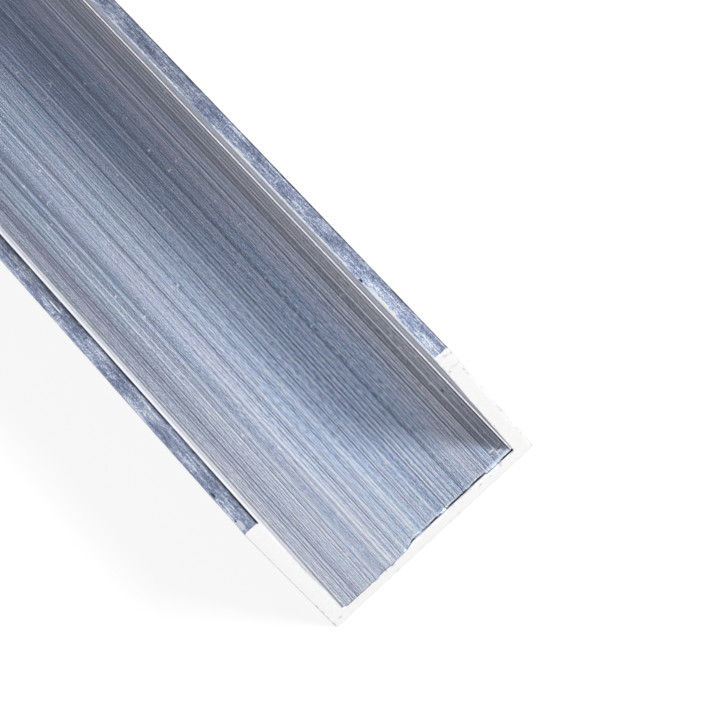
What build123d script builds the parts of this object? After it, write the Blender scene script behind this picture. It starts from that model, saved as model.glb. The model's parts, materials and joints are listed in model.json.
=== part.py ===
from build123d import *
import os

# Aluminium U-channel stock: one extruded section, sawn square at both ends.
# It lies on its web with the open side up. X runs along the bar, Y across the web and Z up.
# The origin is on the underside of the web, midway along the bar and midway between the flanges.

# Driving dimensions, in millimetres
web_width = 30.0  # over the outsides of the flanges
flange_height = 25.0  # from the underside of the web to the flange tips
web_wall = 2.0
flange_wall = 2.0
bar_length = 1000.0

# Radii that the extrusion die leaves along the bar
heel_radius = 0.3  # outside corners, where web and flange meet
root_radius = 0.2  # inside corners, where web and flange meet
tip_radius = 0.25  # both edges of each flange tip

same_height = 0.001  # corners whose heights differ by less are on one level


def channel_section(plane):
    """The cross-section on the given plane, with the web along the sketch's first axis."""
    slot_width = web_width - 2 * flange_wall
    corner_radii = {0: heel_radius, web_wall: root_radius, flange_height: tip_radius}
    with BuildSketch(plane) as section:
        Rectangle(web_width, flange_height, align=(Align.CENTER, Align.MIN))
        with Locations((0, web_wall)):
            Rectangle(
                slot_width,
                flange_height - web_wall,
                align=(Align.CENTER, Align.MIN),
                mode=Mode.SUBTRACT,
            )
        for corner_height, radius in corner_radii.items():
            corners = [v for v in section.vertices() if abs(v.Y - corner_height) < same_height]
            fillet(corners, radius)
    return section.sketch


def channel_bar():
    """The section run out from one sawn end to the other, with the origin midway."""
    sawn_end = Plane.YZ.offset(-bar_length / 2)
    return extrude(channel_section(sawn_end), amount=bar_length)


os.makedirs("parts", exist_ok=True)
u_channel = channel_bar()
u_channel.label = "u_channel"
export_step(u_channel, "parts/u_channel.step")
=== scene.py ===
import json
import math

import bpy
import numpy as np
from mathutils import Matrix, Vector
from mathutils.geometry import delaunay_2d_cdt


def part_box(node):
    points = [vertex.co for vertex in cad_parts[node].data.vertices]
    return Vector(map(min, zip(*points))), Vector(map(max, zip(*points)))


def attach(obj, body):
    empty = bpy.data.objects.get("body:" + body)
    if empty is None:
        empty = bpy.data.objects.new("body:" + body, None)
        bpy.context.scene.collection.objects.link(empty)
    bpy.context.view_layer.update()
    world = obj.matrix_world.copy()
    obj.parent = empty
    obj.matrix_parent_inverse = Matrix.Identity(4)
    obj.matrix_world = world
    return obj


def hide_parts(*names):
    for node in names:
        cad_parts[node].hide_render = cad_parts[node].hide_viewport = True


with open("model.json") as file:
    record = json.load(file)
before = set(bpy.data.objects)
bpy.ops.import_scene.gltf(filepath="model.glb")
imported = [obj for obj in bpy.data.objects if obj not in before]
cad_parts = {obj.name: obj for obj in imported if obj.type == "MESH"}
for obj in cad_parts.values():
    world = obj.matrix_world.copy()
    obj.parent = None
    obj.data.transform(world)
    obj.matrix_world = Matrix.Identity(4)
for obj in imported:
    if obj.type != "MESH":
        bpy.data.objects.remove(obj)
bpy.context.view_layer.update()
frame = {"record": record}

# The bar's sizes, in metres, from the frame
NODE = "u_channel"
_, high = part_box(NODE)
MOUNTS = {mount["name"]: mount for mount in frame["record"]["mounts"]}
HALF_LENGTH = high.x
HALF_WIDTH = high.y
HEIGHT = high.z
WALL = MOUNTS["web_inside"]["pos_m"][2]
INSIDE = HALF_WIDTH - WALL
MM = 0.001

# Radii along the bar and the small bevel round a sawn end
HEEL_RADIUS = 0.3 * MM
ROOT_RADIUS = 0.2 * MM
# The flat that the die has worn in the +Y root: its width, its height and the radius at each of its edges
ROOT_FLAT = (0.18 * MM, 0.098 * MM, 0.02 * MM)
TIP_RADIUS = 0.25 * MM
CRISP_RADIUS = 0.1 * MM  # the inner edge of the +Y flange's tip
END_BEVEL = 0.04 * MM

# The saw leaves a burr, and the sawn face lies behind the burr's furthest reach.
# From BURR_TURN to +Y the burr stands up before a groove painted dark as shade, which BURR_BREAK bridges.
# On the other side the burr lies out over the face.
BURR_REACH = 0.3 * MM
BURR_TURN = -3.0 * MM
BURR_TURN_WIDTH = 2.2 * MM
BURR_CREST = 0.12 * MM
BURR_BREAK = 2.7 * MM
BURR_BREAK_WIDTH = 0.3 * MM
BURR_START = (0.1 * MM, 0.5 * MM)  # how far from the -Y root the burr begins and is whole
SHELF_EDGE = (8.85 * MM, 9.1 * MM)  # the groove is shorter from here to the +Y root
FAINT_EDGE = (11.0 * MM, 11.5 * MM)  # and its painted shade is fainter up to here
RIM_SHADE_EDGE = (6.5 * MM, 9.5 * MM)  # the painted shade on the face's rim is strongest past here
FACE_X = HALF_LENGTH - BURR_REACH

# The skin's map, in pixels: its width, its margin and what each millimetre across the bar gets in each zone
MAP_NAME = "OFBake"
MAP_PIXELS = 1024
MAP_MARGIN = 4
MAP_DENSITY = {"web": 14.5, "root": 14.5, "inside": 4.0, "tip": 16.0, "outside": 3.7, "underside": 2.6}
# What each millimetre of a sawn face gets, and how many millimetres are left between its three parts
SAWN_DENSITY = 12.0
SAWN_GAP = 1.0
# The length of bar at each end that gets END_PIXELS of the map, and what each ring of a sawn end gets
END_STRETCH = 12.0 * MM
END_PIXELS = 70
RING_PIXELS = 2

ZONES = ["web", "root", "inside", "tip", "outside", "underside", "sawn"]
SAWN = ZONES.index("sawn")

random = np.random.default_rng(7)


# The section's outline, as runs of points

CLOSE = 0.04 * MM  # how near to a run's ends its second and last points are
COARSE, MEDIUM, FINE, FINEST = 0.45 * MM, 0.3 * MM, 0.075 * MM, 0.07 * MM  # how far apart the others are


def straight(start, end, pitch, normal):
    """Points from start up to end, with one close to each end so that flats stay flat beside the radii."""
    start, end = np.array(start), np.array(end)
    length = np.linalg.norm(end - start)
    along = np.linspace(CLOSE, length - CLOSE, max(2, round(length / pitch)))
    along = np.concatenate([[0.0], along])
    points = start + np.outer(along / length, end - start)
    return points, np.tile(normal, (len(points), 1))


def corner(centre, radius, first, last, count, side=1):
    """Points round a radius between two angles, in degrees. side is -1 where the metal lies outside it."""
    angles = np.radians(np.linspace(first, last, count + 1)[:-1])
    around = np.column_stack([np.cos(angles), np.sin(angles)])
    return np.array(centre) + radius * around, side * around


def worn_root(inside, floor):
    """The +Y root: the die has worn its radius to a narrow flat between two small radii."""
    width, height, radius = ROOT_FLAT
    slope = math.degrees(math.atan2(width, height))
    drawn = radius * math.tan(math.radians(slope) / 2)
    centre = (inside - radius, floor + height + drawn)
    upper = corner(centre, radius, 0, -slope, 3, -1)
    (first,), (facing,) = corner(centre, radius, -slope, -90, 1, -1)
    drawn = radius * math.tan(math.radians(90 - slope) / 2)
    lower = corner((inside - width - drawn, floor + radius), radius, -slope, -90, 3, -1)
    shares = [0.0, 0.1, 0.5, 0.9]
    flat = first + np.outer(shares, lower[0][0] - first)
    facings = np.tile(facing, (len(flat), 1))
    return [np.concatenate(run) for run in zip(upper, (flat, facings), lower)]


def outline():
    """The section's runs, going round from the underside's -Y end: (zone, points, outward normals)."""
    w, h, t, inside = HALF_WIDTH, HEIGHT, WALL, INSIDE
    heel, root, tip, crisp = HEEL_RADIUS, ROOT_RADIUS, TIP_RADIUS, CRISP_RADIUS
    return [
        ("underside", *straight((-w + heel, 0), (w - heel, 0), COARSE, (0, -1))),
        ("outside", *corner((w - heel, heel), heel, -90, 0, 5)),
        ("outside", *straight((w, heel), (w, h - tip), COARSE, (1, 0))),
        ("tip", *corner((w - tip, h - tip), tip, 0, 90, 6)),
        ("tip", *straight((w - tip, h), (inside + crisp, h), FINEST, (0, 1))),
        ("tip", *corner((inside + crisp, h - crisp), crisp, 90, 180, 6)),
        ("inside", *straight((inside, h - crisp), (inside, t + root), MEDIUM, (-1, 0))),
        ("root", *worn_root(inside, t)),
        ("web", *straight((inside - root, t), (root - inside, t), FINE, (0, 1))),
        ("root", *corner((root - inside, t + root), root, -90, -180, 8, -1)),
        ("inside", *straight((-inside, t + root), (-inside, h - tip), MEDIUM, (1, 0))),
        ("tip", *corner((-inside - tip, h - tip), tip, 0, 90, 6)),
        ("tip", *straight((-inside - tip, h), (-w + tip, h), FINEST, (0, 1))),
        ("tip", *corner((-w + tip, h - tip), tip, 90, 180, 6)),
        ("outside", *straight((-w, h - tip), (-w, heel), COARSE, (-1, 0))),
        ("outside", *corner((-w + heel, heel), heel, 180, 270, 5)),
    ]


def smooth(value, start, end):
    """0 at start, 1 at end and smooth between."""
    t = np.clip((value - start) / (end - start), 0, 1)
    return t * t * (3 - 2 * t)


def ragged(values, coarse, seed):
    """A rough line between 0 and 1 for a torn edge, at each value, varying over about coarse metres."""
    made = np.random.default_rng(seed)
    total = np.zeros(len(values))
    for octave in range(4):
        step = coarse / 2**octave
        knots = np.arange(values.min() - step, values.max() + 2 * step, step)
        total += np.interp(values, knots, made.uniform(-1, 1, len(knots))) / 1.7**octave
    return np.clip(0.5 + total * 0.32, 0, 1)


# Tone: how much lighter or darker than its material the metal is at each point of the skin, from its marks
# and from painted light and shade


def section_tone(points, normals, zones):
    """Tone round the section, most of it painted light and shade.

    The tips' edges towards +Y are painted dark, a painted reflection of dark surroundings, and their edges
    towards -Y get a painted highlight. The inner edge of the -Y flange's tip gets a further painted dark
    reflection. The insides of the flanges are lighter and darker by turns up their height as painted light
    and shade, the +Y one darker overall as painted shade. The -Y root gets a faint painted highlight towards
    its wall, and the web gets painted shade beside the +Y root.
    """
    y, z, facing = points[:, 0], points[:, 1] / MM, normals[:, 0]
    tip, root, wall, web = (zones == ZONES.index(name) for name in ("tip", "root", "inside", "web"))
    left = y < 0
    right = ~left
    beyond_inside = (np.abs(y) - INSIDE) / MM
    tone = np.ones(len(points))

    def change(where, amount):
        tone[where] *= amount[where]

    # Painted dark reflection on tip edges facing +Y, painted highlights on tip edges facing -Y
    change(tip, 1 - 0.85 * smooth(facing, 0.05, 0.6) + 0.85 * smooth(facing, 0.85, 1.0))
    change(tip & right, 1 + 1.4 * smooth(beyond_inside, 0.25, 0.17))
    change(tip & left, 1 + 0.3 * smooth(-facing, 0.1, 0.5))
    change(tip & left, 1 - 0.55 * smooth(beyond_inside, 0.65, 0.2))
    # Faint painted highlight on the -Y root towards its wall
    change(root & left, 0.97 + 0.06 * smooth(np.abs(facing), 0.3, 0.95))
    # Painted light and shade up the insides of the flanges, the +Y one darker as painted shade
    rise = smooth(z, 3.0, 10.0) - 1.3 * smooth(z, 13.0, 21.0) + 3 * smooth(z, 22.0, 23.6)
    rise += 3.2 * (smooth(z, 12.5, 14.5) - smooth(z, 15.5, 17.5))
    change(wall & right, 0.7 + 0.12 * rise)
    rise = 0.6 * smooth(z, WALL / MM, 6.0) - 1.1 * smooth(z, 5.0, 12.0) + 1.4 * smooth(z, 12.0, 19.0)
    change(wall & left, 0.86 + 0.28 * rise)
    # Painted shade on the web beside the +Y root
    change(web, 1 - 0.12 * smooth(y, INSIDE - ROOT_RADIUS - 0.2 * MM, INSIDE - ROOT_RADIUS))
    return tone


# The boldest die lines on the web: place across it and width, in millimetres, and how much lighter or darker
BOLD_LINES = [
    (11.5, 0.1, -0.3),
    (10.8, 0.07, -0.35),
    (9.0, 0.09, -0.35),
    (7.66, 0.05, 0.3),
    (5.0, 0.05, 0.35),
    (4.5, 0.25, -0.22),
    (2.8, 0.08, -0.3),
    (0.5, 0.08, -0.25),
    (-0.84, 0.16, 0.15),
    (-2.54, 0.08, 0.2),
    (-3.47, 0.1, 0.28),
    (-4.1, 0.08, -0.3),
    (-7.4, 0.16, -0.35),
    (-7.76, 0.05, 0.35),
    (-9.7, 0.07, -0.25),
]

# The many finer ones
DIE_LINE_COUNT = 900
DIE_LINE_DEPTH = 0.005 * MM
DIE_LINE_NARROWEST = 0.05 * MM
DIE_LINE_SPREAD = 0.12 * MM  # how much wider than that the widest are


def die_lines(points, zones, along):
    """Straight marks along the bar: how much lighter or darker, at each outline point and station along."""
    steps = np.linalg.norm(np.roll(points, -1, 0) - points, axis=1)
    distance = np.concatenate([[0], np.cumsum(steps)[:-1]])
    count = DIE_LINE_COUNT
    places = random.uniform(0, distance[-1], count)
    widths = DIE_LINE_NARROWEST + DIE_LINE_SPREAD * random.uniform(0, 1, count) ** 3
    strengths = random.normal(0, 0.2, count)
    middles = random.uniform(-1.3, 1.3, count) * HALF_LENGTH
    spans = random.uniform(0.05, 1.5, count) * HALF_LENGTH
    across = np.exp(-(((distance[:, None] - places) / widths) ** 2))
    reach = np.clip(1.5 - np.abs(along[:, None] - middles) / spans, 0, 1)
    lines = np.einsum("ig,jg,g->ij", across, reach, strengths)
    web = zones == ZONES.index("web")
    for place, width, strength in BOLD_LINES:
        bold = strength * np.exp(-(((points[:, 0] / MM - place) / width) ** 2)) * web
        lines += np.outer(bold, np.ones(len(along)))
    return lines


# The sawn ends


def end_rings(points, normals, web):
    """The last rings at a sawn end, from the bar outwards.

    Each is (how far past the sawn face, its points, its tone, where the metal up to the next ring is fresh).
    Where the burr stands, the rings rise to a crest with a painted highlight, drop into the groove, which has
    painted shade, and come up to the face, whose rim has painted shade. The shelf near the +Y root has a
    shorter groove. Where the burr lies, they reach past the face and come back, with painted shadow under it.
    web is 1 at the points where there is a burr, and 0 at the others.
    """
    y = points[:, 0]
    from_root = y + INSIDE - ROOT_RADIUS
    web = web * np.where(y < 0, smooth(from_root, *BURR_START), 1)
    standing = web * smooth(y, BURR_TURN - BURR_TURN_WIDTH / 2, BURR_TURN + BURR_TURN_WIDTH / 2)
    lying = web - standing
    fresh = standing > 0.5
    none = np.zeros(len(points), bool)
    torn = 0.5 * smooth(ragged(y, 1.0 * MM, 3), 0.25, 0.75)
    torn = torn + 0.3 * smooth(ragged(y, 0.3 * MM, 15), 0.2, 0.8)
    out = BURR_REACH / MM * (0.2 + torn)
    crest = BURR_CREST / MM * (0.4 + 0.6 * ragged(y, 0.9 * MM, 4))
    bridge = np.exp(-(((y - BURR_BREAK) / BURR_BREAK_WIDTH) ** 2))
    shelf = smooth(y, *SHELF_EDGE)
    wave = 0.08 * (ragged(y, 0.9 * MM, 6) - 0.5) * (1 - 0.6 * shelf)
    groove = wave + 0.22 * shelf
    faint = shelf - smooth(y, *FAINT_EDGE)
    # Painted shade in the groove, ragged along it, and a painted highlight on the crest
    torn_shade = smooth(ragged(y, 0.7 * MM, 12), 0.5, 0.9)
    dark = 0.01 + 0.3 * torn_shade * (1 - 0.7 * shelf)
    dark = dark + faint * (0.5 + 0.35 * torn_shade) + 1.5 * bridge
    crest_highlight = (1.2 + 0.9 * ragged(y, 0.6 * MM, 14)) * (1 + 0.5 * shelf)
    # Painted shade along the sawn face's rim, ragged along it
    rim_shade = 0.25 + 0.35 * smooth(y, *RIM_SHADE_EDGE)
    rim = 1 - rim_shade * smooth(ragged(y, 1.1 * MM, 8), 0.35, 0.55)
    made = []

    def ring(
        stood, lain, rest, raised=0.0, dropped=0.0, stood_tone=1.0, lain_tone=1.0, bare=none, bevelled=False
    ):
        """One ring: how far past the face it is where the burr stands, where it lies and elsewhere.

        It is raised where the burr stands and dropped where it lies, and all of these are in millimetres.
        """
        past = (standing * stood + lying * lain + (1 - web) * rest) * MM
        rise = (standing * raised - lying * dropped) * MM
        made_points = points + rise[:, None] * np.array([0.0, 1.0]) - bevelled * END_BEVEL * normals
        tone = 1 + standing * (stood_tone - 1) + lying * (lain_tone - 1)
        made.append((past, made_points, tone, bare))

    # Stood tones paint the crest's highlight and the shade of groove and rim; lain tones paint shadow under a
    # lying burr
    ring(-0.95, -0.6, -0.6)
    ring(-0.74 + wave, -0.4, -0.4, raised=0.3 * crest, stood_tone=1.3)
    ring(-0.57 + wave - 0.04 * shelf, -0.2, -0.3, raised=crest, stood_tone=crest_highlight)
    outer = dark + (crest_highlight - dark) * (0.5 + 0.5 * shelf)
    ring(-0.53 + wave + 0.18 * shelf, -0.1, -0.25, raised=0.75 * crest, stood_tone=outer)
    ring(-0.49 + groove, 0.2 * out, -0.2, raised=0.5 * crest, stood_tone=dark)
    ring(-0.44 + groove, out - 0.11, -0.15, raised=-0.06, stood_tone=dark)
    ring(-0.33 + groove, out, -0.1, raised=-0.06, dropped=0.01, stood_tone=dark, lain_tone=0.1)
    ring(-0.28 + groove, out - 0.01, -0.07, dropped=0.05, lain_tone=0.1, bare=fresh)
    ring(-0.05, 0.0, -END_BEVEL / MM, dropped=0.08, lain_tone=0.4, bare=fresh, stood_tone=rim)
    ring(0.0, 0.0, 0.0, dropped=0.1, stood_tone=rim, lain_tone=0.8, bevelled=True)
    return made


# The stations near each end, in millimetres behind its sawn face, and those between them
NEAR_STATIONS = [1.2, 1.7, 2.5, 4.0, 6.5, 10.0, 15.0, 22.0, 30.0, 40.0, 52.0, 66.0, 82.0]
MIDDLE_STATIONS = 41
MIDDLE_STARTS = 100.0 * MM


def stations():
    """Places along the bar, close together near the sawn ends."""
    near = FACE_X - MM * np.array(NEAR_STATIONS)
    middle = np.linspace(-1, 1, MIDDLE_STATIONS) * (FACE_X - MIDDLE_STARTS)
    return np.concatenate([-near, middle, near[::-1]])


# Nicks and specks of the saw: place and half-size across and up the sawn face, in millimetres, and how dark
SAW_MARKS = [
    (14.2, 24.0, 0.22, 0.16, 0.3),
    (14.0, 24.3, 0.12, 0.12, 0.25),
    (14.4, 21.5, 0.45, 0.07, 0.3),
    (13.9, 21.8, 0.3, 0.08, 0.2),
    (13.4, 21.3, 0.12, 0.14, 0.5),
    (14.75, 19.9, 0.08, 0.3, 0.35),
    (14.75, 18.9, 0.08, 0.2, 0.3),
    (14.85, 9.4, 0.08, 0.16, 0.45),
    (13.2, 8.0, 0.08, 0.1, 0.4),
    (10.8, 1.5, 0.2, 0.08, 0.55),
    (9.2, 1.35, 0.1, 0.12, 0.3),
    (7.7, 1.45, 0.16, 0.1, 0.5),
    (3.7, 0.1, 0.3, 0.06, 0.4),
    (2.5, 0.1, 0.15, 0.06, 0.35),
    (-2.0, 0.1, 0.25, 0.06, 0.35),
    (-5.6, 0.1, 0.5, 0.06, 0.4),
    (-5.6, 1.6, 0.22, 0.15, 0.95),
    (-6.6, 1.62, 0.12, 0.1, 0.6),
    (-13.9, 1.05, 0.14, 0.07, 0.85),
    (-14.93, 5.6, 0.06, 0.5, 0.6),
    (-14.93, 4.2, 0.06, 0.45, 0.5),
    (-14.93, 2.6, 0.06, 0.3, 0.4),
    (-14.93, 0.9, 0.06, 0.55, 0.6),
]
MARK_DEPTH = 0.05 * MM  # of a mark that is quite dark
DARKEST = 0.97  # that marks can make a place together

# Points inside a sawn face: how far apart they are, and how far from its box, its edges and the burr
SAWN_PITCH = 0.22 * MM
SAWN_CLEAR = 0.16 * MM
EDGE_ROOM = 0.05 * MM
BURR_ROOM = 0.17 * MM
SAME_POINT = 1e-9  # points nearer to each other than this are one


def sawn_points():
    """Points inside the sawn face, a little out of line, and closer together over the marks."""
    pitch, clear = SAWN_PITCH, SAWN_CLEAR
    found = []
    for y in np.arange(-HALF_WIDTH + clear, HALF_WIDTH - clear, pitch):
        for z in np.arange(clear, HEIGHT - clear, pitch):
            shift = random.uniform(-0.25, 0.25, 2) * pitch
            found.append((y + shift[0], z + shift[1]))
    spread = np.linspace(-1.5, 1.5, 7)
    for y, z, half_y, half_z, _ in SAW_MARKS:
        found += [((y + a * half_y) * MM, (z + b * half_z) * MM) for a in spread for b in spread]
    edge = EDGE_ROOM
    inner = WALL - BURR_ROOM
    kept = []
    for y, z in found:
        in_web = z < inner and abs(y) < HALF_WIDTH - edge
        in_flange = INSIDE + edge < abs(y) < HALF_WIDTH - edge and z < HEIGHT - edge
        in_heel = abs(y) > HALF_WIDTH - HEEL_RADIUS and z < HEEL_RADIUS
        in_tip = z > HEIGHT - TIP_RADIUS - edge and not INSIDE + TIP_RADIUS < abs(y) < HALF_WIDTH - TIP_RADIUS
        if z > edge and (in_web or in_flange) and not in_heel and not in_tip:
            kept.append((y, z))
    return kept


def mark_darkness(y, z):
    """How dark the saw's marks make a point of the sawn face, from 0 to 1."""
    darkness = 0.0
    for place_y, place_z, half_y, half_z, strength in SAW_MARKS:
        apart = ((y / MM - place_y) / half_y) ** 2 + ((z / MM - place_z) / half_z) ** 2
        darkness += strength * math.exp(-apart)
    return min(darkness, DARKEST)


def sawn_face(ring):
    """Points and triangles that fill a sawn end's ring of (y, z) points. The ring's points come first."""
    points = [Vector(p) for p in ring] + [Vector(p) for p in sawn_points()]
    edges = [(i, (i + 1) % len(ring)) for i in range(len(ring))]
    found, _, faces, _, _, _ = delaunay_2d_cdt(points, edges, [], 1, SAME_POINT)
    return found, faces


# The skin's map: along the bar one way and round the section the other, with the sawn faces below


def sawn_map(points, row):
    """Map places of one sawn face's corners. Its two flanges and its web are laid side by side in one row."""
    middle = points.mean(0)
    width, height, gap = 2 * HALF_WIDTH / MM, HEIGHT / MM, SAWN_GAP
    y, z = (points[:, 0] + HALF_WIDTH) / MM, points[:, 1] / MM
    if middle[1] < WALL:
        along, across = height + gap + y, z
    elif middle[0] < 0:
        along, across = height - z, y
    else:
        along, across = height + gap + width + gap + z, width - y
    along = MAP_MARGIN + along * SAWN_DENSITY
    across = row + across * SAWN_DENSITY
    return np.column_stack([along, across]) / MAP_PIXELS


def map_rows(runs, points):
    """The row of the map for each point of the outline, and for the point that closes it."""
    zones = [run[0] for run in runs for _ in run[1]]
    steps = np.linalg.norm(np.roll(points, -1, 0) - points, axis=1) / MM
    rows = np.cumsum([step * MAP_DENSITY[zone] for step, zone in zip(steps, zones)])
    return MAP_MARGIN + np.concatenate([[0], rows])


def map_columns(along, end_count):
    """The column of the map for each ring: the ends get more room than the long middle."""
    stretch = FACE_X - END_STRETCH
    centre = MAP_PIXELS / 2
    rings_room = end_count * RING_PIXELS
    middle_room = centre - MAP_MARGIN - rings_room - END_PIXELS
    reach = np.abs(along)
    past = np.clip((reach - stretch) / END_STRETCH, 0, 1) * END_PIXELS
    columns = centre + np.sign(along) * (np.clip(reach / stretch, 0, 1) * middle_room + past)
    ends = np.arange(1, end_count + 1) * RING_PIXELS
    return np.concatenate([columns[0] - ends[::-1], columns, columns[-1] + ends])


# The skin: the outline run along the bar, closed by the sawn faces


def bar_rings(points, normals, zones, along):
    """The skin's rings from end to end: their points, their tones and where the metal past each is fresh.

    There is one at each station along the bar, and those of the sawn ends lie outside them.
    """
    count = len(points)
    sawn_through = (zones == ZONES.index("web")) | ((zones == ZONES.index("root")) & (points[:, 0] > 0))
    lines = die_lines(points, zones, along)
    depth = DIE_LINE_DEPTH * (lines.max() - lines)
    edges = section_tone(points, normals, zones)
    rings, tones, bare = [], [], []
    for j, x in enumerate(along):
        rings.append(np.column_stack([np.full(count, x), points - depth[:, j, None] * normals]))
        tones.append(edges * np.exp(lines[:, j]))
        bare.append(np.zeros(count, bool))
    for side, last in ((1, -1), (-1, 0)):
        made = end_rings(points - depth[:, last, None] * normals, normals, sawn_through.astype(float))
        ends = [np.column_stack([side * (FACE_X + past), ring]) for past, ring, _, _ in made]
        shades = [np.where(fresh, tone, tone * edges * np.exp(lines[:, last])) for _, _, tone, fresh in made]
        freshes = [fresh for _, _, _, fresh in made]
        if side > 0:
            rings, tones, bare = rings + ends, tones + shades, bare + freshes
        else:
            freshes = freshes[-2::-1] + [bare[0]]
            rings, tones, bare = ends[::-1] + rings, shades[::-1] + tones, freshes + bare
    return rings, tones, bare


def faces_between(zones, bare, rows, columns):
    """The faces between the rings, with each one's material and its corners' places on the map."""
    count = len(zones)
    faces, slots, places = [], [], []
    for j in range(len(columns) - 1):
        for i in range(count):
            k = (i + 1) % count
            a, b = j * count, (j + 1) * count
            faces.append((a + i, a + k, b + k, b + i))
            slots.append(SAWN if bare[j][i] else zones[i])
            places += [(columns[j], rows[i]), (columns[j], rows[i + 1])]
            places += [(columns[j + 1], rows[i + 1]), (columns[j + 1], rows[i])]
    return faces, slots, np.array(places) / MAP_PIXELS


def skin_mesh():
    """The whole skin as one mesh, with its map, its tone and a material for each zone."""
    runs = outline()
    points = np.concatenate([run[1] for run in runs])
    normals = np.concatenate([run[2] for run in runs]).astype(float)
    zones = np.array([ZONES.index(run[0]) for run in runs for _ in run[1]])
    count = len(points)
    along = stations()
    rings, tones, bare = bar_rings(points, normals, zones, along)
    rows = map_rows(runs, points)
    columns = map_columns(along, (len(rings) - len(along)) // 2)
    verts = [tuple(v) for v in np.concatenate(rings)]
    tone = list(np.concatenate(tones))
    faces, slots, between_places = faces_between(zones, bare, rows, columns)

    places = [between_places]
    row = rows[-1] + MAP_MARGIN
    for side, first in ((-1, 0), (1, (len(rings) - 1) * count)):
        ring = [(verts[first + i][1], verts[first + i][2]) for i in range(count)]
        found, made = sawn_face(ring)
        index = list(range(first, first + count))
        for y, z in found[count:]:
            darkness = mark_darkness(side * y, z)
            index.append(len(verts))
            verts.append((side * (FACE_X - MARK_DEPTH * darkness), y, z))
            tone.append(1 - darkness)
        for face in made:
            corners = face if side > 0 else face[::-1]
            faces.append([index[i] for i in corners])
            slots.append(SAWN)
            places.append(sawn_map(np.array([found[i] for i in corners]), row))
        row += WALL / MM * SAWN_DENSITY + MAP_MARGIN

    mesh = bpy.data.meshes.new("channel_skin")
    mesh.from_pydata(verts, [], faces)
    mesh.polygons.foreach_set("material_index", slots)
    mesh.polygons.foreach_set("use_smooth", np.ones(len(faces), bool))
    mesh.uv_layers.new(name=MAP_NAME).data.foreach_set("uv", np.concatenate(places).ravel())
    mesh.attributes.new("tone", "FLOAT", "POINT").data.foreach_set("value", tone)
    mesh.update()
    return mesh


# Materials

REACH = FACE_X / MM  # the sawn faces' places along the bar
LIGHTEST = (0.94, 0.94, 0.94)
BRUSHED = 0.6  # how far the drawn grain stretches reflections
QUARTER_TURN = 0.25
FACTOR, FIRST, SECOND, MIXED = 0, 6, 7, 2  # a mix node's sockets for colours


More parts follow.
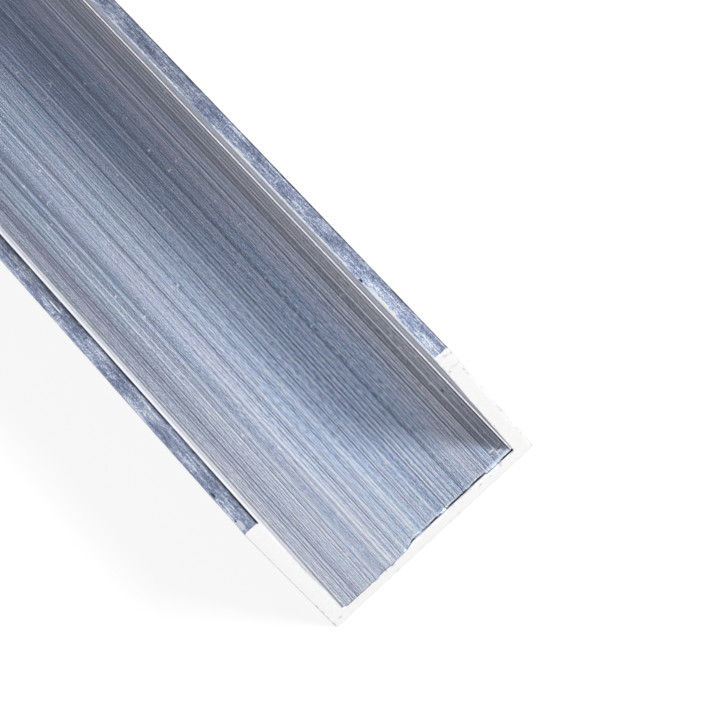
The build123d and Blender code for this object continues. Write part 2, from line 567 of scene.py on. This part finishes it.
class Finish:
    """One material's nodes, with short calls for those that finishes share. Lengths are in millimetres."""

    def __init__(self, name):
        self.material = bpy.data.materials.new(name)
        self.material.use_nodes = True
        self.tree = self.material.node_tree
        self.shader = self.tree.nodes["Principled BSDF"]

    def node(self, kind, inputs=(), **settings):
        """A new node, with its inputs by name or number and its settings by name."""
        made = self.tree.nodes.new(kind)
        for name, value in settings.items():
            setattr(made, name, value)
        for name, value in dict(inputs).items():
            self.give(made.inputs[name], value)
        return made

    def give(self, socket, value):
        """Links a socket to another one, or sets it to a plain value."""
        if isinstance(value, bpy.types.NodeSocket):
            self.tree.links.new(value, socket)
        elif isinstance(value, tuple) and len(value) == 3 and socket.type == "RGBA":
            socket.default_value = (*value, 1)
        else:
            socket.default_value = value

    def maths(self, operation, a, b=0.0, clamp=False):
        made = self.node("ShaderNodeMath", {0: a, 1: b}, operation=operation, use_clamp=clamp)
        return made.outputs[0]

    def vector(self, operation, a, b):
        return self.node("ShaderNodeVectorMath", {0: a, 1: b}, operation=operation).outputs[0]

    def total(self, *values):
        """The sum of (weight, value) pairs."""
        result = 0.0
        for weight, value in values:
            result = self.maths("ADD", result, self.maths("MULTIPLY", value, weight))
        return result

    def contrast(self, *noises):
        """The sum of (weight, noise) pairs, moved so that it averages 0."""
        middle = sum(0.5 * weight for weight, _ in noises)
        return self.maths("SUBTRACT", self.total(*noises), middle)

    def spread(self, value, start, end, at_start=0.0, at_end=1.0):
        """A straight ramp of a value, level before its start and past its end."""
        inputs = {"Value": value, "From Min": start, "From Max": end, "To Min": at_start, "To Max": at_end}
        return self.node("ShaderNodeMapRange", inputs).outputs[0]

    def patch(self, *ramps):
        """The product of ramps, each given as spread takes it."""
        mask, *others = [self.spread(*ramp) for ramp in ramps]
        for other in others:
            mask = self.maths("MULTIPLY", mask, other)
        return mask

    def behind_end(self, x):
        """How far a place along the bar is behind the nearer sawn face."""
        return self.maths("SUBTRACT", REACH, self.maths("ABSOLUTE", x))

    def where(self):
        """The place along the bar, across it, up it, and round its section."""
        place = self.node("ShaderNodeTexCoord").outputs["Object"]
        scaled = self.node("ShaderNodeVectorMath", {0: place, "Scale": 1 / MM}, operation="SCALE")
        x, y, z = self.node("ShaderNodeSeparateXYZ", {0: scaled.outputs[0]}).outputs
        return x, y, z, self.maths("ADD", y, z)

    def flat_place(self, x, across, length, width, seed):
        """A place on a flat pattern whose features are length long and width wide."""
        a = self.maths("DIVIDE", x, length)
        b = self.maths("DIVIDE", across, width)
        return self.node("ShaderNodeCombineXYZ", {0: a, 1: b, 2: seed}).outputs[0]

    def noise(self, x, across, length, width, seed, detail=2.0):
        """Noise with features about length long and width wide, averaging 0.5."""
        place = self.flat_place(x, across, length, width, seed)
        return self.node("ShaderNodeTexNoise", {"Vector": place, "Scale": 1.0, "Detail": detail}).outputs[0]

    def cells(self, x, across, apart, seed):
        """Scattered spots: the way from the nearest one, the distance to it, and its three random numbers."""
        place = self.flat_place(x, across, apart, apart, 0.0)
        place = self.vector("ADD", place, (seed, seed, 0.0))
        inputs = {"Vector": place, "Scale": 1.0}
        found = self.node("ShaderNodeTexVoronoi", inputs, voronoi_dimensions="2D").outputs
        chances = self.node("ShaderNodeSeparateColor", {0: found["Color"]}).outputs
        return self.vector("SUBTRACT", place, found["Position"]), found["Distance"], chances

    def specks(self, x, across, apart, radius, seed):
        """Small round specks of many sizes up to radius, about apart from each other, as a mask."""
        _, distance, chances = self.cells(x, across, apart, seed)
        size = self.maths("MULTIPLY", chances[0], radius / apart)
        return self.spread(distance, size, self.maths("MULTIPLY", size, 0.5))

    def strokes(self, x, across, apart, length, width, seed, bent=1.6):
        """Small strokes at all angles, about apart from each other, as a mask. They curve by bent."""
        offset, _, chances = self.cells(x, across, apart, seed)
        inputs = {"Vector": offset, "Angle": self.maths("MULTIPLY", chances[0], math.tau)}
        turned = self.node("ShaderNodeVectorRotate", inputs, rotation_type="Z_AXIS")
        a, b, _ = self.node("ShaderNodeSeparateXYZ", {0: turned.outputs[0]}).outputs
        bend = self.maths("MULTIPLY", self.maths("MULTIPLY", a, a), bent * apart / length)
        b = self.maths("ABSOLUTE", self.maths("ADD", b, bend))
        reach = self.maths("MULTIPLY", chances[1], length / apart)
        along = self.spread(self.maths("ABSOLUTE", a), reach, self.maths("MULTIPLY", reach, 0.7))
        return self.maths("MULTIPLY", along, self.spread(b, width / apart, 0.4 * width / apart))

    def marked(self, colour, x, y, marks):
        """The colour with lone oval marks on it near the near end, from a list like TIP_MARKS."""
        for behind, place, half_length, half_width, mark_colour in marks:
            away = self.maths("DIVIDE", self.maths("ADD", x, behind - REACH), half_length)
            aside = self.maths("DIVIDE", self.maths("SUBTRACT", y, place), half_width)
            squares = [(1.0, self.maths("MULTIPLY", offset, offset)) for offset in (away, aside)]
            mask = self.spread(self.total(*squares), 1.2, 0.7)
            colour = self.mix(mask, colour, mark_colour)
        return colour

    def ramp(self, value, stops):
        """The colour for a value, from (value, colour) stops."""
        made = self.node("ShaderNodeValToRGB", {0: value})
        elements = made.color_ramp.elements
        while len(elements) < len(stops):
            elements.new(0.5)
        for element, (place, colour) in zip(elements, stops):
            element.position = place
            element.color = (*colour, 1)
        return made.outputs[0]

    def mix(self, factor, a, b, blend="MIX"):
        made = self.node("ShaderNodeMix", {FACTOR: factor}, data_type="RGBA", blend_type=blend)
        self.give(made.inputs[FIRST], a)
        self.give(made.inputs[SECOND], b)
        return made.outputs[MIXED]

    def cover(self, colour, mask, strength, over):
        """The colour with another one laid over it, as strongly as strength where the mask is 1."""
        return self.mix(self.maths("MULTIPLY", mask, strength), colour, over)

    def times(self, colour, value, blueness=0.0):
        """The colour times a value, kept under white. A darker one is bluer too, by blueness."""
        reddened = self.maths("POWER", value, 1 + blueness)
        blued = self.maths("POWER", value, 1 - blueness)
        shade = self.node("ShaderNodeCombineColor", {0: reddened, 1: value, 2: blued}).outputs[0]
        return self.vector("MINIMUM", self.mix(1.0, colour, shade, "MULTIPLY"), LIGHTEST)

    def shade(self, lines, evenness=1.0):
        """How light the metal is from its lines, as a power, and its tone."""
        tone = self.node("ShaderNodeAttribute", attribute_name="tone").outputs["Fac"]
        tone = self.maths("POWER", tone, evenness)
        return self.maths("MULTIPLY", self.maths("POWER", math.e, lines), tone)

    def brushed(self):
        """Sets the shader's grain to run along the bar."""
        tangent = self.node("ShaderNodeTangent", direction_type="UV_MAP", uv_map=MAP_NAME)
        self.give(self.shader.inputs["Tangent"], tangent.outputs[0])
        self.shader.inputs["Anisotropic"].default_value = BRUSHED
        self.shader.inputs["Anisotropic Rotation"].default_value = QUARTER_TURN

    def bump(self, height, depth):
        """Fine relief from a height, with its depth in metres."""
        inputs = {"Strength": 1.0, "Distance": depth, "Height": height}
        return self.node("ShaderNodeBump", inputs).outputs[0]

    def surface(self, **values):
        """The material, with values for the shader's sockets by their names."""
        for name, value in values.items():
            self.give(self.shader.inputs[name.replace("_", " ")], value)
        return self.material


DUST_COLOUR = (0.88, 0.89, 0.91)
PIT_COLOUR = (0.06, 0.06, 0.07)
ROOT_COLOUR = (0.92, 0.92, 0.93)
INSIDE_COLOUR = (0.752, 0.752, 0.79)
OUTSIDE_COLOUR = (0.42, 0.46, 0.54)
SAWN_COLOUR = (0.93, 0.925, 0.915)
COOL_TINT = (0.925, 1.0, 1.13)

# The shader of the plain drawn faces
DRAWN = {"Metallic": 0.5, "Roughness": 0.34}

# The web's tarnish and painted shade, in bands from its -Y side to its +Y side, and how far its bands wander
WANDER = 0.08
WEB_BANDS = [
    (0.0, (0.38, 0.41, 0.49)),
    (0.04, (0.36, 0.4, 0.49)),
    (0.08, (0.26, 0.295, 0.385)),
    (0.14, (0.42, 0.48, 0.6)),
    (0.2, (0.35, 0.41, 0.555)),
    (0.3, (0.44, 0.5, 0.67)),
    (0.37, (0.45, 0.53, 0.71)),
    (0.47, (0.46, 0.55, 0.75)),
    (0.53, (0.45, 0.54, 0.75)),
    (0.58, (0.29, 0.36, 0.53)),
    (0.63, (0.4, 0.48, 0.67)),
    (0.68, (0.35, 0.42, 0.59)),
    (0.73, (0.38, 0.455, 0.615)),
    (0.8, (0.44, 0.49, 0.64)),
    (0.88, (0.53, 0.565, 0.69)),
    (0.94, (0.54, 0.56, 0.65)),
    (1.0, (0.61, 0.6, 0.68)),
]

# Nicks of the saw, dust and stains on the web: millimetres behind the near sawn face, place across,
# half-sizes and colour
WEB_MARKS = [
    (1.3, 11.82, 0.12, 0.32, LIGHTEST),
    (2.0, 11.17, 0.12, 0.45, LIGHTEST),
    (1.65, 12.0, 0.1, 0.3, (0.2, 0.2, 0.26)),
    (1.65, 10.9, 0.1, 0.25, (0.3, 0.32, 0.4)),
    (2.35, 11.0, 0.08, 0.2, (0.7, 0.74, 0.82)),
    (4.1, 10.05, 0.09, 0.2, (0.7, 0.73, 0.8)),
    (4.4, 8.66, 0.12, 0.12, (0.72, 0.8, 0.88)),
    (1.05, 8.0, 0.09, 0.2, (0.7, 0.75, 0.85)),
    (9.4, 12.3, 0.12, 0.08, PIT_COLOUR),
    (12.7, 11.85, 0.22, 0.1, PIT_COLOUR),
    (15.5, 10.4, 0.4, 0.2, (0.56, 0.5, 0.55)),
    (18.1, 1.35, 0.25, 0.12, DUST_COLOUR),
    (21.2, 11.68, 0.2, 0.15, DUST_COLOUR),
    (24.6, 6.85, 0.16, 0.1, DUST_COLOUR),
    (30.9, 7.2, 0.16, 0.1, DUST_COLOUR),
]

# A faint stain, from teal through none to pink
TEAL_TO_PINK = [(0.3, (0.95, 1.0, 1.01)), (0.5, (1.0, 1.0, 1.0)), (0.7, (1.05, 0.99, 0.99))]


def web_lines(finish, x, across, behind):
    """Die lines of many widths, sharper towards an end."""
    broad = finish.contrast(
        (0.8, finish.noise(x, across, 400.0, 0.5, 5.0, 1.0)),
        (0.6, finish.noise(x, across, 300.0, 0.2, 9.0, 1.0)),
    )
    fine = finish.contrast(
        (1.5, finish.noise(x, across, 250.0, 0.11, 11.0, 0.0)),
        (0.65, finish.noise(x, across, 120.0, 0.15, 31.0, 0.0)),
    )
    grooves = finish.spread(finish.noise(x, across, 300.0, 0.18, 13.0, 0.0), 0.32, 0.26)
    fine_grooves = finish.spread(finish.noise(x, across, 120.0, 0.12, 23.0, 0.0), 0.3, 0.22)
    ridges = finish.spread(finish.noise(x, across, 200.0, 0.16, 17.0, 0.0), 0.68, 0.74)
    fine_ridges = finish.spread(finish.noise(x, across, 100.0, 0.12, 29.0, 0.0), 0.7, 0.78)
    cuts = finish.total((-0.6, grooves), (-0.6, fine_grooves), (0.7, ridges), (0.7, fine_ridges))
    soft = finish.spread(behind, 58.0, 22.0, 1.0, 0.5)
    sharp = finish.patch((behind, 48.0, 20.0, 0.9, 2.6), (behind, 16.0, 2.0, 1.0, 0.65))
    bold = finish.spread(behind, 58.0, 22.0, 0.95, 1.05)
    return finish.total(
        (1.0, finish.maths("MULTIPLY", broad, soft)),
        (1.0, finish.maths("MULTIPLY", fine, sharp)),
        (1.0, finish.maths("MULTIPLY", cuts, bold)),
    )


def web_grain(finish, x, y, across, behind):
    """Fine grain, with a longer one near an end. It is weaker beside the +Y root."""
    grain = finish.contrast(
        (5.2, finish.noise(x, across, 0.16, 0.13, 3.0, 2.0)),
        (0.8, finish.noise(x, across, 1.6, 0.14, 4.0, 2.0)),
    )
    near_grain = finish.contrast((3.2, finish.noise(x, across, 0.9, 0.14, 15.0, 1.0)))
    near = finish.patch((behind, 18.0, 6.0, 1.0, 0.4), (y, -8.0, -3.0, 0.5, 1.0), (behind, 70.0, 25.0))
    grain = finish.total((1.0, grain), (1.0, finish.maths("MULTIPLY", near_grain, near)))
    return finish.maths("MULTIPLY", grain, finish.spread(y, 7.5, 11.0, 1.0, 0.5))


def web_metal():
    """The inside of the web: tarnish and painted shade in broad bands, with die lines, grain, painted light
    and shade near an end, dust and a few pits.
    """
    finish = Finish("web_drawn_metal")
    x, y, _, across = finish.where()
    behind = finish.behind_end(x)
    wander = finish.noise(x, across, 60.0, 5.0, 2.0)
    band = finish.total((MM / (2 * INSIDE), y), (WANDER, wander), (1.0, 0.5 - WANDER / 2))
    colour = finish.ramp(band, WEB_BANDS)
    for stain in (finish.noise(x, across, 10.0, 2.0, 4.0, 3.0), finish.noise(x, across, 120.0, 0.6, 19.0)):
        colour = finish.mix(1.0, colour, finish.ramp(stain, TEAL_TO_PINK), "MULTIPLY")

    # Lighter and darker places near an end: painted light near the end and painted shade further along, a
    # painted cast shadow of the +Y flange whose slanting edge meets a painted lit wedge by the +Y corner, and
    # painted shade in the +Y root. The web is also a little darker further along, and lighter by the -Y root
    # near the end.
    lines = web_lines(finish, x, across, behind)
    slant = finish.total((1.0, behind), (1.4, y))
    ends = finish.patch((behind, 90.0, 25.0, -0.3, 0.2), (y, 6.0, 11.0, 1.0, 0.25))
    far_dim = finish.patch((behind, 40.0, 68.0), (y, 0.0, 3.0), (y, 9.5, 8.0))
    corner_shadow = finish.patch((behind, 14.0, 6.0), (y, 10.0, 11.5), (slant, 18.0, 19.2))
    corner_light = finish.patch((slant, 19.2, 18.0), (y, 8.0, 10.5))
    root_shade = finish.patch((behind, 26.0, 9.0), (y, 12.55, 12.75))
    lighter_patch = finish.patch((behind, 30.0, 8.0), (y, -9.5, -11.0))
    shading = finish.total(
        (1.0, lines),
        (1.0, web_grain(finish, x, y, across, behind)),
        (1.0, ends),
        (-0.08, far_dim),
        (-0.4, corner_shadow),
        (-0.04, corner_light),
        (-0.6, root_shade),
        (0.15, lighter_patch),
    )
    colour = finish.times(colour, finish.shade(shading), 0.05)
    # Bluer in a patch near the end and in the painted lit wedge by the +Y corner
    cool = finish.patch((behind, 60.0, 22.0), (y, 11.0, 8.0), (y, -8.0, -2.0), (behind, 20.0, 6.0, 1.0, 0.2))
    cool = finish.maths("MAXIMUM", cool, corner_light)
    colour = finish.mix(cool, colour, finish.mix(1.0, colour, COOL_TINT, "MULTIPLY"))

    # Dust and pits
    large, small = finish.specks(x, across, 4.5, 0.24, 0.0), finish.specks(x, across, 1.8, 0.1, 7.7)
    dust = finish.maths("MAXIMUM", large, small)
    dust = finish.maths("MAXIMUM", dust, finish.strokes(x, across, 8.0, 0.6, 0.09, 3.3))
    colour = finish.cover(colour, dust, 0.95, DUST_COLOUR)
    colour = finish.cover(colour, finish.specks(x, across, 30.0, 0.14, 5.1), 0.6, PIT_COLOUR)
    colour = finish.marked(colour, x, y, WEB_MARKS)
    finish.brushed()
    return finish.surface(Base_Color=colour, Normal=finish.bump(lines, 0.004 * MM), **DRAWN)


def root_metal():
    """The root radii, which the die leaves smoother and lighter than the flats."""
    finish = Finish("root_drawn_metal")
    x, _, _, across = finish.where()
    lines = finish.contrast(
        (0.5, finish.noise(x, across, 40.0, 0.2, 6.0)),
        (0.5, finish.noise(x, across, 0.4, 0.2, 3.0, 1.0)),
    )
    colour = finish.times(ROOT_COLOUR, finish.shade(lines))
    finish.brushed()
    return finish.surface(
        Base_Color=colour,
        Metallic=1.0,
        Roughness=0.07,
        Normal=finish.bump(lines, 0.001 * MM),
    )


def inside_metal():
    """The insides of the flanges, drawn and a little lighter than the web, partly as painted light."""
    finish = Finish("flange_inside_metal")
    x, _, _, across = finish.where()
    lines = finish.contrast(
        (0.9, finish.noise(x, across, 160.0, 0.6, 6.0)),
        (0.9, finish.noise(x, across, 70.0, 0.25, 8.0, 2.0)),
        (0.35, finish.noise(x, across, 0.3, 1.5, 3.0, 2.0)),
        (0.5, finish.noise(x, across, 12.0, 0.12, 4.0, 1.0)),
    )
    # The lighter colour is partly painted light
    colour = finish.times(INSIDE_COLOUR, finish.shade(lines))
    colour = finish.cover(colour, finish.specks(x, across, 3.0, 0.14, 0.0), 0.8, DUST_COLOUR)
    finish.brushed()
    return finish.surface(
        Base_Color=colour,
        Metallic=0.12,
        Roughness=0.36,
        Specular_IOR_Level=0.0,
        Normal=finish.bump(lines, 0.003 * MM),
    )


# The skin of the flange tips, from its darkest to its lightest
TIP_COLOURS = [
    (0.0, (0.12, 0.15, 0.24)),
    (0.5, (0.32, 0.37, 0.53)),
    (0.75, (0.48, 0.56, 0.75)),
    (1.0, (0.85, 0.88, 0.93)),
]

# Lone marks on the flange tips: millimetres behind the near sawn face, place across, half-sizes and colour
TIP_MARKS = [
    (6.8, -14.68, 0.5, 0.14, PIT_COLOUR),
    (14.6, 13.17, 0.35, 0.13, PIT_COLOUR),
    (41.3, -13.87, 1.4, 0.09, DUST_COLOUR),
    (32.9, 13.9, 0.15, 0.35, (0.6, 0.66, 0.78)),
    (1.3, -14.55, 0.8, 0.28, (0.66, 0.7, 0.8)),
    (2.1, -14.72, 0.15, 0.1, PIT_COLOUR),
]


def tip_metal():
    """The flange tips: a blue-grey skin, mottled as if hammered, with scratches along it and a few across."""
    finish = Finish("flange_tip_metal")
    x, y, _, across = finish.where()
    behind = finish.behind_end(x)
    lines = finish.contrast(
        (1.3, finish.noise(x, across, 5.0, 0.9, 1.0, 1.0)),
        (1.3, finish.noise(x, across, 0.8, 0.25, 6.0, 2.0)),
        (1.5, finish.noise(x, across, 6.0, 0.14, 8.0, 2.0)),
        (1.8, finish.noise(x, across, 0.2, 0.15, 2.0, 1.0)),
    )
    colour = finish.ramp(finish.maths("ADD", lines, 0.5), TIP_COLOURS)
    # Lighter and darker places near the end; near it the painted dark reflection on the +Y tip's outer edge
    # is lifted
    lighter_patch = finish.patch((behind, 20.5, 17.0), (y, 14.5, 13.8), (y, 0.0, 1.0))
    unshaded_edge = finish.patch((behind, 14.0, 6.0), (y, 14.7, 14.8))
    darker_inner_side = finish.patch((behind, 34.0, 44.0), (y, -14.4, -13.4), (y, 0.0, -1.0))
    dimmed = finish.patch((behind, 44.0, 52.0), (y, 0.0, 1.0))
    shading = finish.total((0.45, lighter_patch), (0.5, unshaded_edge), (-0.6, darker_inner_side), (-0.3, dimmed), (1.0, -0.05))
    evenness = finish.spread(finish.noise(x, across, 14.0, 30.0, 7.0, 2.0), 0.3, 0.7, 0.5, 1.5)
    colour = finish.times(colour, finish.shade(shading, evenness))
    scratches = finish.spread(finish.noise(x, across, 3.0, 0.09, 15.0, 1.0), 0.7, 0.76)
    scratches = finish.maths("MAXIMUM", scratches, finish.strokes(x, across, 5.0, 0.6, 0.06, 2.2))
    colour = finish.cover(colour, scratches, 0.8, DUST_COLOUR)
    colour = finish.cover(colour, finish.specks(x, across, 6.0, 0.2, 9.4), 0.8, PIT_COLOUR)
    colour = finish.marked(colour, x, y, TIP_MARKS)
    finish.brushed()
    return finish.surface(Base_Color=colour, Normal=finish.bump(lines, 0.008 * MM), **DRAWN)


def outside_metal(name):
    """The outside faces and the underside: drawn metal with scuffs."""
    finish = Finish(name)
    x, _, _, across = finish.where()
    lines = finish.contrast(
        (0.9, finish.noise(x, across, 200.0, 0.9, 6.0)),
        (1.1, finish.noise(x, across, 90.0, 0.3, 8.0, 2.0)),
        (0.8, finish.noise(x, across, 30.0, 6.0, 3.0, 4.0)),
        (0.5, finish.noise(x, across, 0.3, 0.3, 3.0, 1.0)),
    )
    colour = finish.times(OUTSIDE_COLOUR, finish.shade(lines))
    scuffs = finish.strokes(x, across, 12.0, 3.0, 0.06, 2.2, bent=0.12)
    colour = finish.cover(colour, scuffs, 0.6, DUST_COLOUR)
    finish.brushed()
    return finish.surface(
        Base_Color=colour,
        Metallic=0.5,
        Roughness=0.36,
        Normal=finish.bump(lines, 0.004 * MM),
    )


def sawn_metal():
    """The sawn faces: fresh light metal with a fine grain and faint marks of the saw."""
    finish = Finish("sawn_metal")
    _, y, z, _ = finish.where()
    grain = finish.noise(y, z, 0.25, 0.25, 3.0, 3.0)
    teeth = finish.noise(z, y, 0.5, 9.0, 5.0, 2.0)
    lines = finish.contrast((0.12, grain), (0.04, teeth))
    colour = finish.times(SAWN_COLOUR, finish.shade(lines))
    return finish.surface(
        Base_Color=colour,
        Metallic=0.4,
        Roughness=0.5,
        Normal=finish.bump(lines, 0.02 * MM),
    )


def make_skin():
    """The skin with its materials. It is shown in place of the CAD solid and rides on the same body."""
    mesh = skin_mesh()
    skin = bpy.data.objects.new("channel_skin", mesh)
    bpy.context.collection.objects.link(skin)
    finishes = {
        "web": web_metal(),
        "root": root_metal(),
        "inside": inside_metal(),
        "tip": tip_metal(),
        "outside": outside_metal("flange_outside_metal"),
        "underside": outside_metal("web_underside_metal"),
        "sawn": sawn_metal(),
    }
    for zone in ZONES:
        mesh.materials.append(finishes[zone])
    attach(skin, "root")
    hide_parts(NODE)


# Floor, light and camera

FLOOR_SIZE = 60.0
FLOOR_DROP = 0.02 * MM
FLOOR_COLOUR = (0.15, 0.15, 0.15)
FLOOR_LIFT = 0.87  # its own light where it is seen


def make_stage():
    """A wide grey floor, lifted to almost white where it is seen, so that only a faint shadow shows on it."""
    bpy.ops.mesh.primitive_plane_add(size=FLOOR_SIZE, location=(0, 0, -FLOOR_DROP))
    floor = bpy.context.object
    floor.name = "floor"
    finish = Finish("pale_floor")
    rays = finish.node("ShaderNodeLightPath").outputs
    seen = finish.maths("ADD", rays["Is Camera Ray"], rays["Is Glossy Ray"], clamp=True)
    seen = finish.maths("ADD", seen, rays["Is Transmission Ray"], clamp=True)
    finish.surface(
        Base_Color=FLOOR_COLOUR,
        Roughness=1.0,
        Specular_IOR_Level=0.0,
        Emission_Color=(1.0, 1.0, 1.0),
        Emission_Strength=finish.maths("MULTIPLY", seen, FLOOR_LIFT),
    )
    floor.data.materials.append(finish.material)


# The studio's light by height, as a sine, and its dark side by nearness to its middle, as a cosine
SKY_STOPS = [(0.0, (0.74, 0.745, 0.76)), (0.5, (0.47, 0.475, 0.49))]
DARK_STOPS = [(0.86, (0.0, 0.0, 0.0)), (0.99, (1.0, 1.0, 1.0))]
DARK_COLOUR = (0.23, 0.235, 0.25)
DARK_SIDE = Vector((-0.76, 0.05, 0.6)).normalized()


def make_world():
    """A pale studio, lightest at the horizon, with one darker side high up beyond the bar's far end."""
    world = bpy.data.worlds.new("studio")
    bpy.context.scene.world = world
    world.use_nodes = True
    tree = world.node_tree
    way = tree.nodes.new("ShaderNodeTexCoord").outputs["Generated"]

    def ramp(value, stops):
        made = tree.nodes.new("ShaderNodeValToRGB")
        made.color_ramp.interpolation = "EASE"
        for element, (place, colour) in zip(made.color_ramp.elements, stops):
            element.position = place
            element.color = (*colour, 1)
        tree.links.new(value, made.inputs[0])
        return made.outputs[0]

    split = tree.nodes.new("ShaderNodeSeparateXYZ")
    tree.links.new(way, split.inputs[0])
    sky = ramp(split.outputs["Z"], SKY_STOPS)
    towards = tree.nodes.new("ShaderNodeVectorMath")
    towards.operation = "DOT_PRODUCT"
    towards.inputs[1].default_value = DARK_SIDE
    tree.links.new(way, towards.inputs[0])
    dark = ramp(towards.outputs["Value"], DARK_STOPS)
    mix = tree.nodes.new("ShaderNodeMix")
    mix.data_type = "RGBA"
    mix.inputs[SECOND].default_value = (*DARK_COLOUR, 1)
    tree.links.new(dark, mix.inputs[FACTOR])
    tree.links.new(sky, mix.inputs[FIRST])
    tree.links.new(mix.outputs[MIXED], tree.nodes["Background"].inputs[0])


def direction(azimuth, elevation):
    """The way to a place in the sky. Azimuth turns from +X to +Y, and both angles are in degrees."""
    a, e = math.radians(azimuth), math.radians(elevation)
    return Vector((math.cos(e) * math.cos(a), math.cos(e) * math.sin(a), math.sin(e)))


def lamp(name, azimuth, elevation, distance, size, power):
    """A square soft lamp that looks at the bar's near end."""
    way = direction(azimuth, elevation)
    data = bpy.data.lights.new(name, "AREA")
    data.size = size
    data.energy = power
    made = bpy.data.objects.new(name, data)
    made.location = Vector((FACE_X, 0, WALL)) + distance * way
    made.rotation_euler = way.to_track_quat("Z", "Y").to_euler()
    bpy.context.collection.objects.link(made)


# The photograph's view, fitted to the bar's edges in it: a long lens that looks down on the near end.
# Angles are in degrees.
VIEW_ELEVATION = 53.47
VIEW_AZIMUTH = -1.02
VIEW_ROLL = -41.95
VIEW_DISTANCE = 0.6174
VIEW_TARGET = Vector((FACE_X - 0.02523, 0.00744, 0))
FOCAL_PIXELS = 5372.0
PHOTO_PIXELS = 720.0
SENSOR_WIDTH = 36.0
NEAREST_SEEN = 0.01
FARTHEST_SEEN = 200.0


def make_camera():
    """The photograph's camera."""
    back = direction(VIEW_AZIMUTH, VIEW_ELEVATION)
    level_up = direction(VIEW_AZIMUTH, VIEW_ELEVATION + 90)
    level_right = level_up.cross(back)
    roll = math.radians(VIEW_ROLL)
    right = math.cos(roll) * level_right + math.sin(roll) * level_up
    up = back.cross(right)
    data = bpy.data.cameras.new("camera")
    data.sensor_width = SENSOR_WIDTH
    data.lens = FOCAL_PIXELS / PHOTO_PIXELS * SENSOR_WIDTH
    data.clip_start = NEAREST_SEEN
    data.clip_end = FARTHEST_SEEN
    camera = bpy.data.objects.new("camera", data)
    bpy.context.collection.objects.link(camera)
    turn = Matrix((right, up, back)).transposed().to_4x4()
    camera.matrix_world = Matrix.Translation(VIEW_TARGET + VIEW_DISTANCE * back) @ turn
    bpy.context.scene.camera = camera


make_camera()
make_skin()
make_stage()
make_world()
lamp("key", azimuth=36.5, elevation=45, distance=2.5, size=0.45, power=60.0)
lamp("side", azimuth=95, elevation=34, distance=2.5, size=0.8, power=29.0)

bpy.context.scene.view_settings.view_transform = "Standard"
